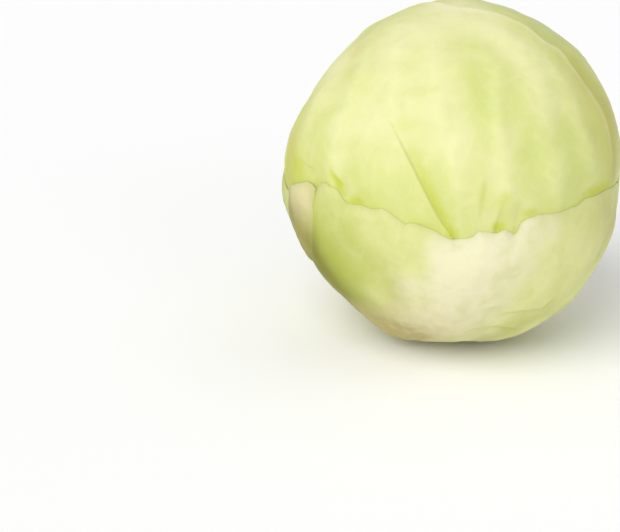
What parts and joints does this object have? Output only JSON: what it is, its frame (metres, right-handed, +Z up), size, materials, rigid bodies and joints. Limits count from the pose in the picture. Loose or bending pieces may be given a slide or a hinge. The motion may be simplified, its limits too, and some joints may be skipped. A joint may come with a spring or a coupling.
{
  "type": "green cabbage",
  "caption": "Round, dense, pale green head of cabbage on a flat-cut stem, its lower half wrapped in torn outer leaves with a thick cream midrib.",
  "frame": {"origin": "middle of the stem's flat cut face, which the cabbage stands on", "axes": "+Z up along the head's axis, -Y towards the front of the picture, +X to its right"},
  "size_m": [0.1653, 0.167, 0.1625],
  "materials": {
    "head": "smooth waxy leaf, pale yellow-green, satin",
    "outer_leaf": "smooth waxy leaf, light green to cream at the midrib, satin",
    "stem": "fresh cut stem, cream, matt and slightly fibrous"
  },
  "bodies": {
    "root": {"head": "head", "stem": "stem", "outer_leaf_front": "outer_leaf", "outer_leaf_left": "outer_leaf", "outer_leaf_back_right": "outer_leaf", "outer_leaf_back_left": "outer_leaf"}
  },
  "joints": []
}
